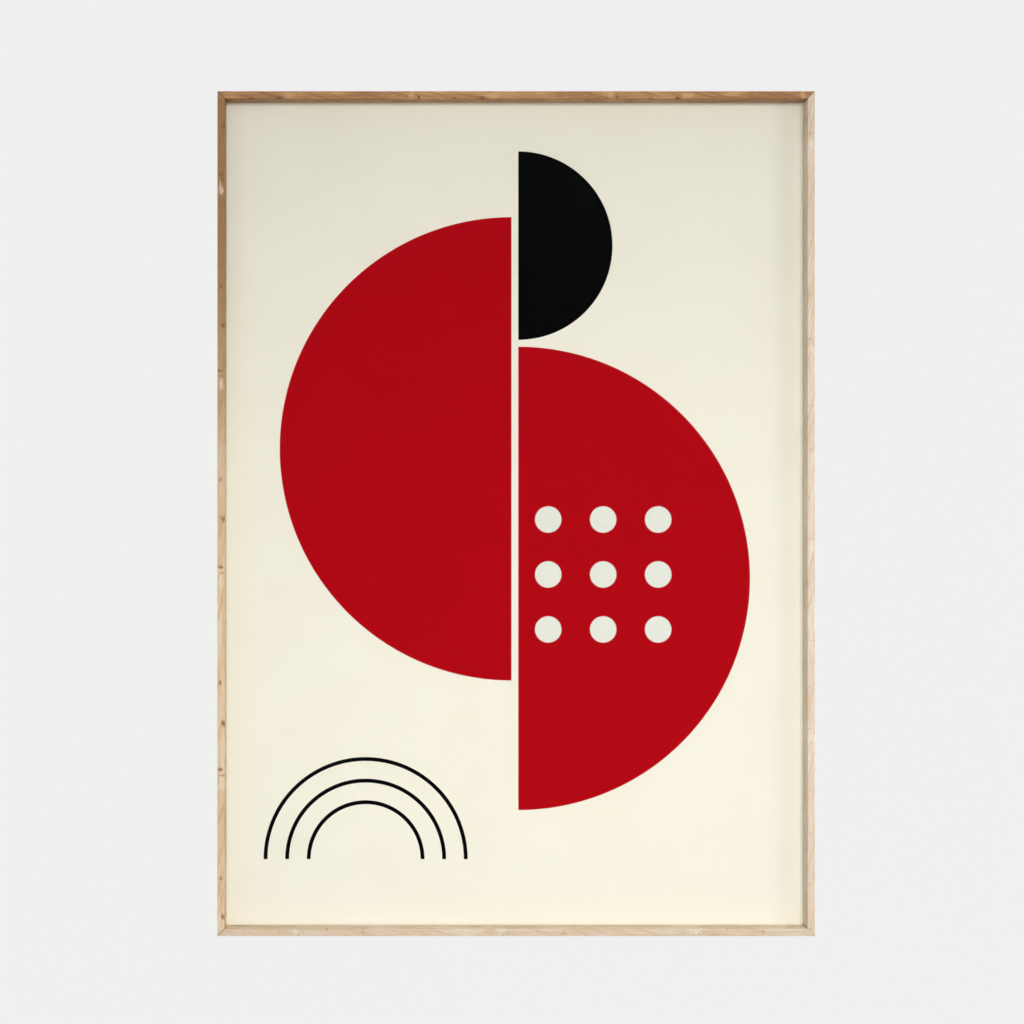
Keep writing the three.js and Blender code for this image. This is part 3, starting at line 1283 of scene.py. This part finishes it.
@dataclass
class PrintSheet:
    """The paper sheet, whose printed areas are faces of their own.

    Attributes:
        places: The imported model's planes.
        slip: The gap along which the red disc is sliced.
        disc_radius: The radius of the sliced disc.
        disc_drop: How far its halves are slid apart.
        moon_radius: The radius of the black half disc.
        dots_centre: The white dots' middle, right of the sheet's and up from their half disc's.
        dot_pitch: The distance between two dots.
        dot_radius: A dot's radius.
        dots_each_way: How many dots there are across and up.
        arch_centre: Where the arches stand, right and up from the sheet's centre.
        arch_radii: Their outer radii.
        line: The width of an arch's line.
        off_round: How far a circle's facets may fall inside it.
        on_cut: How near a cut a disc's corner counts as lying on it.
    """

    places: FramePlaces
    slip: float = 7 * MM
    disc_radius: float = 236 * MM
    disc_drop: float = 132 * MM
    moon_radius: float = 96 * MM
    dots_centre: tuple[float, float] = (90 * MM, 4 * MM)
    dot_pitch: float = 56 * MM
    dot_radius: float = 13.5 * MM
    dots_each_way: int = 3
    arch_centre: tuple[float, float] = (-152 * MM, -352 * MM)
    arch_radii: tuple[float, ...] = (104 * MM, 82 * MM, 60 * MM)
    line: float = 4 * MM
    off_round: float = 0.015 * MM
    on_cut: float = 0.01 * MM

    def design(self) -> list[Motif]:
        """The motifs of the sheet.

        Returns:
            The motifs that lie on bare paper, with what lies inside them.
        """
        edge = self.slip / 2
        half_drop = self.disc_drop / 2
        moon_up = self.disc_radius - half_drop + self.slip + self.moon_radius
        dots = self.dots(-half_drop)
        left = Motif(Ink.RED, (-edge, half_drop), self.disc_radius, Cut.LEFT_HALF)
        right = Motif(Ink.RED, (edge, -half_drop), self.disc_radius, Cut.RIGHT_HALF, inside=dots)
        moon = Motif(Ink.BLACK, (edge, moon_up), self.moon_radius, Cut.RIGHT_HALF)
        arches = [
            Motif(Ink.BLACK, self.arch_centre, radius, Cut.UPPER_HALF, radius - self.line)
            for radius in self.arch_radii
        ]
        return [left, right, moon, *arches]

    def dots(self, disc_up: float) -> tuple[Motif, ...]:
        """A square grid of white dots.

        Args:
            disc_up: The height of the centre of the half disc that they lie in.

        Returns:
            The dots.
        """
        right, up = self.dots_centre
        middle = (self.dots_each_way - 1) / 2
        steps = [(i - middle) * self.dot_pitch for i in range(self.dots_each_way)]
        return tuple(
            Motif(Ink.WHITE, (right + across, disc_up + up + rise), self.dot_radius)
            for across in steps
            for rise in steps
        )

    def build(self) -> None:
        """Builds and dresses the sheet."""
        low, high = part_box("print")
        bm = bmesh.new()
        rim = self.rectangle(bm, low, high)
        outlines = {motif: self.outline(bm, motif, low.y) for motif in self.design()}
        self.fill(bm, rim + [e for edges in outlines.values() for e in edges], Ink.BARE)
        for motif, edges in outlines.items():
            holes = [e for inner in motif.inside for e in self.printed(bm, inner, low.y)]
            self.fill(bm, edges + holes, motif.ink)
        thicken(bm, (0, high.y - low.y, 0))
        self.bare_back(bm)
        finishes = [ink.value.material() for ink in Ink]
        finish_piece(bm, "print_sheet", finishes, ["print"])

    @staticmethod
    def rectangle(bm: BMesh, low: Vector, high: Vector) -> list[BMEdge]:
        """The sheet's outline.

        Args:
            bm: The sheet's bmesh.
            low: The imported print's lowest corner.
            high: Its highest corner.

        Returns:
            The outline's edges.
        """
        ends = [(low.x, low.z), (high.x, low.z), (high.x, high.z), (low.x, high.z)]
        corners = [bm.verts.new((x, low.y, z)) for x, z in ends]
        return [bm.edges.new((corners[i - 1], corners[i])) for i in range(len(corners))]

    def facets(self, radius: float) -> int:
        """How many sides a circle needs to look round.

        Args:
            radius: The circle's radius.

        Returns:
            The number of sides, a multiple of 8 so that a half disc's cut meets two corners.
        """
        needed = math.pi * math.sqrt(radius / (2 * self.off_round))
        return 8 * math.ceil(needed / 8)

    def arc(self, bm: BMesh, motif: Motif, radius: float, front: float) -> list[BMEdge]:
        """The round part of a motif's outline.

        Args:
            bm: The sheet's bmesh.
            motif: The motif.
            radius: The arc's radius.
            front: The y of the sheet's front.

        Returns:
            The arc's edges.
        """
        right, up = motif.centre
        centre = Vector((right, front, self.places.centre.z + up))
        place = Matrix.Translation(centre) @ Matrix.Rotation(math.pi / 2, 4, "X")
        made = bmesh.ops.create_circle(
            bm, cap_ends=False, radius=radius, segments=self.facets(radius), matrix=place
        )
        verts = made["verts"]
        edges = list(dict.fromkeys(e for v in verts for e in v.link_edges))
        if motif.cut is Cut.WHOLE:
            return edges
        kept = bmesh.ops.bisect_plane(
            bm,
            geom=verts + edges,
            dist=self.on_cut,
            plane_co=centre,
            plane_no=motif.cut.value,
            clear_outer=True,
        )["geom"]
        return [part for part in kept if isinstance(part, BMEdge) and part.is_valid]

    def outline(self, bm: BMesh, motif: Motif, front: float) -> list[BMEdge]:
        """A motif's whole outline.

        Args:
            bm: The sheet's bmesh.
            motif: The motif.
            front: The y of the sheet's front.

        Returns:
            The outline's edges.
        """
        outer = self.arc(bm, motif, motif.radius, front)
        if motif.cut is Cut.WHOLE:
            return outer
        if motif.inner_radius == 0:
            return outer + [bm.edges.new(self.loose_ends(outer))]
        inner = self.arc(bm, motif, motif.inner_radius, front)
        feet = []
        for foot in self.loose_ends(outer):
            near = min(self.loose_ends(inner), key=lambda v: (v.co - foot.co).length)
            feet.append(bm.edges.new((foot, near)))
        return outer + inner + feet

    @staticmethod
    def loose_ends(edges: list[BMEdge]) -> list[BMVert]:
        """The two ends of an open run of edges.

        Args:
            edges: The run.

        Returns:
            Its end points.
        """
        chosen = set(edges)
        verts = dict.fromkeys(v for e in edges for v in e.verts)
        return [v for v in verts if sum(e in chosen for e in v.link_edges) == 1]

    @staticmethod
    def fill(bm: BMesh, edges: list[BMEdge], ink: Ink) -> None:
        """Fills the area between outlines with faces of one ink.

        Args:
            bm: The sheet's bmesh.
            edges: The outer outline and those of the holes.
            ink: The area's ink.
        """
        before = set(bm.faces)
        bmesh.ops.triangle_fill(bm, use_beauty=True, edges=edges, normal=(0, -1, 0))
        for face in set(bm.faces) - before:
            face.material_index = ink.index

    def printed(self, bm: BMesh, motif: Motif, front: float) -> list[BMEdge]:
        """Draws a motif that lies in another and fills it.

        Args:
            bm: The sheet's bmesh.
            motif: The inner motif.
            front: The y of the sheet's front.

        Returns:
            Its outline's edges.
        """
        edges = self.outline(bm, motif, front)
        self.fill(bm, edges, motif.ink)
        return edges

    @staticmethod
    def bare_back(bm: BMesh) -> None:
        """Leaves the sheet's back and its rim bare.

        Args:
            bm: The sheet's bmesh.
        """
        for face in bm.faces:
            if face.normal.y > -0.5:
                face.material_index = Ink.BARE.index


# ------------------------------------------------------------------ steel parts


@dataclass
class RetainingTabs:
    """Thin steel tabs set in the rails, with their tips lifted a little for a finger.

    Attributes:
        tip_radius: The radius of the tip's corners.
        lifted: The length of the tip that is lifted.
        lift: How high it is lifted.
        bends: How many facets the lifted tip's curve has.
        arris: The radius of the stamped edges.
    """

    tip_radius: float = 3 * MM
    lifted: float = 4.5 * MM
    lift: float = 1.3 * MM
    bends: int = 4
    arris: float = 0.09 * MM

    def build(self, finish: bpy.types.Material) -> None:
        """Builds and dresses every tab.

        Args:
            finish: The steel's material.
        """
        for side in Side:
            for node in nodes_called(f"tab_{side.label}_"):
                bm = self.plate(node, side)
                tab = finish_piece(bm, f"steel_{node}", [finish], [node])
                shade_round(tab)

    def plate(self, node: str, side: Side) -> BMesh:
        """One tab in its place.

        Args:
            node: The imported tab's name.
            side: Its side of the frame.

        Returns:
            The tab's bmesh.
        """
        low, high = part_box(node)
        size, middle = high - low, (low + high) / 2
        length, width = (size.x, size.z) if side.upright else (size.z, size.x)
        bm = bmesh.new()
        square = Matrix.Diagonal((width, size.y, length, 1))
        bmesh.ops.create_cube(bm, size=1.0, matrix=square)
        tip_edges = [e for e in bm.edges if all(v.co.z > 0 for v in e.verts) and runs_through(e)]
        round_off(bm, tip_edges, self.tip_radius, segments=6)
        start = length / 2 - self.lifted
        for bend in range(self.bends):
            split(bm, at=(0, 0, start + bend * self.lifted / self.bends), normal=(0, 0, 1))
        round_off(bm, rim_edges(bm), self.arris, segments=2)
        for vert in bm.verts:
            past = max(0.0, vert.co.z - start) / self.lifted
            vert.co.y += self.lift * past**2
        bm.transform(Matrix.Translation(middle) @ side.turn)
        return bm


@dataclass
class Hanger:
    """The toothed plate that the nail carries, with its two rivets.

    Attributes:
        notches: How many notches its lower edge has.
        pitch: The distance between two notches.
        notch: A notch's width at the edge.
        depth: A notch's depth.
        thickness: The plate's thickness.
        flat_end: The length of each end that lies on the board.
        ramp: The length of each slope up to the raised middle.
        bends: How many facets a slope's curve has.
        corner: The radius of the plate's corners.
        arris: The radius of its stamped edges.
        rivet_head: The radius of a rivet's head.
        rivet_shank: The radius of its shank, as a share of its head's.
        rivet_height: The height of a rivet's head.
        dome_steps: How many facets the head has from its rim to its top.
    """

    notches: int = 7
    pitch: float = 3.2 * MM
    notch: float = 2.8 * MM
    depth: float = 1.6 * MM
    thickness: float = 1.0 * MM
    flat_end: float = 9.5 * MM
    ramp: float = 5.0 * MM
    bends: int = 6
    corner: float = 2.0 * MM
    arris: float = 0.15 * MM
    rivet_head: float = 3.4 * MM
    rivet_shank: float = 0.47
    rivet_height: float = 1.1 * MM
    dome_steps: int = 6

    def build(self, finish: bpy.types.Material) -> None:
        """Builds and dresses the plate and its rivets.

        Args:
            finish: The steel's material.
        """
        plate = finish_piece(self.plate(), "hanger", [finish], ["hanger_plate"])
        shade_round(plate)
        for hand in ("left", "right"):
            node = f"hanger_rivet_{hand}"
            rivet = finish_piece(self.rivet(node), f"rivet_{hand}", [finish], [node])
            shade_round(rivet)

    def plate(self) -> BMesh:
        """The plate, raised in the middle and notched below.

        Returns:
            The plate's bmesh.
        """
        low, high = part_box("hanger_plate")
        rise = high.y - low.y - self.thickness
        bm = bmesh.new()
        outline = self.lower_edge(low) + [(high.x, high.z), (low.x, high.z)]
        bm.faces.new([bm.verts.new((x, low.y, z)) for x, z in outline])
        corners = [v for v in bm.verts if abs(v.co.x) > high.x - self.arris]
        round_off(bm, corners, self.corner, segments=6)
        for x in self.bent_at(high.x):
            split(bm, at=(x, 0, 0), normal=(1, 0, 0))
        thicken(bm, (0, self.thickness, 0))
        rims = [e for e in rim_edges(bm) if not runs_through(e)]
        round_off(bm, rims, self.arris, segments=2)
        for vert in bm.verts:
            vert.co.y += rise * self.raised(abs(vert.co.x), high.x)
        return bm

    def bent_at(self, half: float) -> list[float]:
        """Where the plate is split so that it can bend.

        Args:
            half: Half its length.

        Returns:
            The places along X.
        """
        outer = half - self.flat_end
        steps = [outer - self.ramp * i / self.bends for i in range(self.bends + 1)]
        return [hand * x for x in steps for hand in (-1, 1)]

    def raised(self, out: float, half: float) -> float:
        """How far the plate has risen: 0 on its flat ends, 1 in its raised middle."""
        share = min(1.0, max(0.0, (half - self.flat_end - out) / self.ramp))
        return share * share * (3 - 2 * share)

    def lower_edge(self, low: Vector) -> list[tuple[float, float]]:
        """The plate's lower edge with its notches, from left to right.

        Args:
            low: The plate's lowest corner.

        Returns:
            The edge's points in X and Z.
        """
        points = [(low.x, low.z)]
        for i in range(self.notches):
            middle = (i - (self.notches - 1) / 2) * self.pitch
            points.append((middle - self.notch / 2, low.z))
            points.append((middle, low.z + self.depth))
            points.append((middle + self.notch / 2, low.z))
        points.append((-low.x, low.z))
        return points

    def rivet(self, node: str) -> BMesh:
        """One rivet with a domed head.

        Args:
            node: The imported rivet's name.

        Returns:
            The rivet's bmesh.
        """
        low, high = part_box(node)
        middle = (low + high) / 2
        shank = self.rivet_shank * self.rivet_head
        head_y = high.y - self.rivet_height
        turns = [math.radians(90 * step / self.dome_steps) for step in range(self.dome_steps + 1)]
        dome = [
            (self.rivet_head * math.cos(turn), head_y + self.rivet_height * math.sin(turn))
            for turn in turns
        ]
        profile = [(0.0, low.y), (shank, low.y), (shank, head_y), *dome]
        bm = bmesh.new()
        spin_profile(bm, profile, (0, 1, 0), steps=40)
        bm.transform(Matrix.Translation((middle.x, 0, middle.z)))
        return bm


# ------------------------------------------------------------------ studio


@dataclass(frozen=True)
class Lamp:
    """A softbox that shines on the frame.

    Attributes:
        name: The lamp's name.
        place: Where it stands, from the frame's centre.
        power: Its power in watts.
        size: Its width and height.
        aim: What it points at, from the frame's centre.
        spread: The angle that its grid lets light out over, in degrees.
        mirrored: Whether glossy surfaces show it.
    """

    name: str
    place: Triple
    power: float
    size: tuple[float, float]
    aim: Triple = (0.0, 0.0, 0.0)
    spread: float = 180.0
    mirrored: bool = True

    def build(self, centre: Vector) -> None:
        """Hangs the lamp and turns it to what it points at.

        Args:
            centre: The frame's centre.
        """
        lamp = bpy.data.lights.new(self.name, "AREA")
        lamp.energy = self.power
        lamp.shape = "RECTANGLE"
        lamp.size, lamp.size_y = self.size
        lamp.spread = math.radians(self.spread)
        holder = bpy.data.objects.new(self.name, lamp)
        holder.location = centre + Vector(self.place)
        beam = Vector(self.aim) - Vector(self.place)
        holder.rotation_euler = beam.to_track_quat("-Z", "Y").to_euler()
        holder.visible_camera = False
        holder.visible_glossy = self.mirrored
        bpy.context.scene.collection.objects.link(holder)


def softboxes() -> list[Lamp]:
    """The lamps: a gridded key above, weak side and fill lamps, and two behind.

    Returns:
        The lamps.
    """
    key = Lamp(
        "key",
        place=(0.2, -2.3, 0.42),
        power=9.7,
        size=(1.3, 1.0),
        aim=(0.05, 0.0, -0.55),
        spread=80,
        mirrored=False,
    )
    return [
        key,
        Lamp("side", place=(2.0, -1.05, 0.4), power=7.6, size=(0.6, 0.6)),
        Lamp("fill", place=(-1.7, -1.5, -0.3), power=3.0, size=(0.8, 0.8), mirrored=False),
        Lamp("back_left", place=(-1.8, 1.3, 0.5), power=34.0, size=(1.2, 1.2)),
        Lamp("back_right", place=(2.0, 0.9, 0.3), power=20.0, size=(1.2, 1.2)),
    ]


@dataclass
class Studio:
    """A pale round studio with soft light, and the camera.

    Attributes:
        places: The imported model's planes.
        floor_drop: How far the floor is under the frame's centre.
        floor_radius: The radius of its flat part.
        floor_rings: How many rings of faces that part has.
        sweep: The radius of the curve from the floor to the wall.
        sweep_steps: How many facets that curve has.
        wall_rise: The wall's height above that curve.
        sky: The colour of the light from all round.
        sky_strength: Its strength.
        photo_side: The side of the photograph, in pixels.
        frame_pixels: The frame's width in the photograph.
        centre_pixel: The frame's centre in the photograph.
        distance: The camera's distance from the frame's front.
        aside: How far the camera stands to the left of the frame's centre.
        sensor: The camera's sensor, in millimetres.
        sight: The nearest and farthest that the camera sees.
    """

    places: FramePlaces
    floor_drop: float = 1.9
    floor_radius: float = 3.0
    floor_rings: int = 4
    sweep: float = 1.4
    sweep_steps: int = 12
    wall_rise: float = 9.0
    sky: Colour = (1.0, 0.995, 0.985, 1.0)
    sky_strength: float = 0.25
    photo_side: float = 1024.0
    frame_pixels: float = 597.7
    centre_pixel: tuple[float, float] = (516.2, 513.6)
    distance: float = 1.5
    aside: float = 0.12
    sensor: float = 36.0
    sight: tuple[float, float] = (0.05, 40.0)

    def build(self) -> None:
        """Builds the floor, the lamps and the camera."""
        self.floor()
        self.light()
        self.camera()

    def floor(self) -> None:
        """The floor, which sweeps up into a round wall and lets the sky's light through."""
        rings = range(self.floor_rings + 1)
        profile = [(self.floor_radius * ring / self.floor_rings, 0.0) for ring in rings]
        for step in range(1, self.sweep_steps + 1):
            turn = math.radians(90 * step / self.sweep_steps)
            out = self.floor_radius + self.sweep * math.sin(turn)
            profile.append((out, self.sweep * (1 - math.cos(turn))))
        profile.append((profile[-1][0], self.sweep + self.wall_rise))
        bm = bmesh.new()
        spin_profile(bm, profile, (0, 0, 1), steps=96)
        bm.transform(Matrix.Translation((0, 0, self.places.centre.z - self.floor_drop)))
        floor = placed(bm, "studio_floor", [StudioFinish().material()])
        floor.data.shade_smooth()
        floor.visible_shadow = False
        floor.visible_diffuse = False

    def light(self) -> None:
        """Hangs the softboxes and lights the world all round."""
        for lamp in softboxes():
            lamp.build(self.places.centre)
        world = bpy.data.worlds.new("studio_sky")
        world.use_nodes = True
        background = world.node_tree.nodes["Background"]
        background.inputs["Color"].default_value = self.sky
        background.inputs["Strength"].default_value = self.sky_strength
        bpy.context.scene.world = world
        bpy.context.scene.view_settings.view_transform = "Standard"

    def camera(self) -> None:
        """The camera, parallel to the frame and shifted so that it is framed as in the photograph."""
        seen = self.places.width * self.photo_side / self.frame_pixels
        right, down = ((pixel - self.photo_side / 2) / self.photo_side for pixel in self.centre_pixel)
        data = bpy.data.cameras.new("camera")
        data.sensor_width = self.sensor
        data.lens = self.sensor * self.distance / seen
        data.shift_x = self.aside / seen - right
        data.shift_y = down
        data.clip_start, data.clip_end = self.sight
        camera = bpy.data.objects.new("camera", data)
        centre = self.places.centre
        camera.location = (centre.x - self.aside, self.places.front_y - self.distance, centre.z)
        camera.rotation_euler = (math.pi / 2, 0, 0)
        bpy.context.scene.collection.objects.link(camera)
        bpy.context.scene.camera = camera


# ------------------------------------------------------------------ the whole scene


def main() -> None:
    logging.basicConfig(level=logging.INFO, format="%(name)s: %(message)s")
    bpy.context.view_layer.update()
    places = FramePlaces.read()
    Studio(places).build()

    OakFrame(places).build()
    PrintSheet(places).build()
    zinc = ZincFinish().material()
    RetainingTabs().build(zinc)
    Hanger().build(zinc)
    dress_node("glazing", GlazingFinish().material(), arris=0.2 * MM)
    dress_node("backing_board", HardboardFinish().material())
    for node in nodes_called("corner_fastener_"):
        dress_node(node, zinc, arris=0.08 * MM)

    bpy.context.view_layer.update()


if __name__ == "__main__":
    main()
